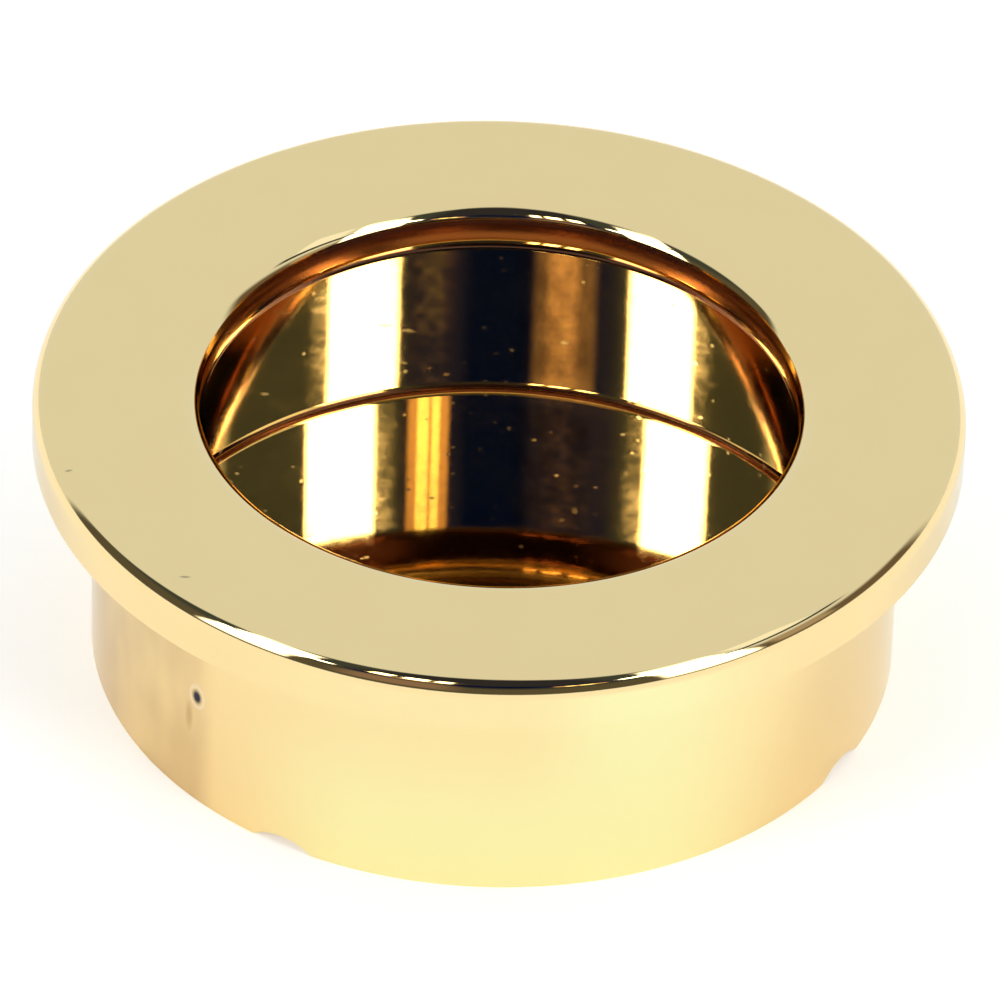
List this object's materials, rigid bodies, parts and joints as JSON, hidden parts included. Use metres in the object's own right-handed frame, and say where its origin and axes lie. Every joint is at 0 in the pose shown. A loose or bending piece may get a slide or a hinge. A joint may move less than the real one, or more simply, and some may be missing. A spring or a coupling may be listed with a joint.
{
  "type": "recessed pull handle",
  "caption": "Round recessed pull for a sliding door: flat flange, rounded overhanging lip, straight skirt and a mirror-bright cup closed by a thin disc.",
  "frame": {"origin": "centre of the back rim of the skirt, the plane it stands on when it lies face up", "axes": "+Z out of the door through the centre of the flange's face; X and Y across the flange, with the notches between them"},
  "size_m": [0.04, 0.04, 0.0132],
  "materials": {
    "body_brass": "polished and lacquered",
    "disc_brass": "mirror polished inside, plain behind"
  },
  "bodies": {
    "root": {"body": "body_brass", "floor_disc": "disc_brass"}
  },
  "joints": []
}
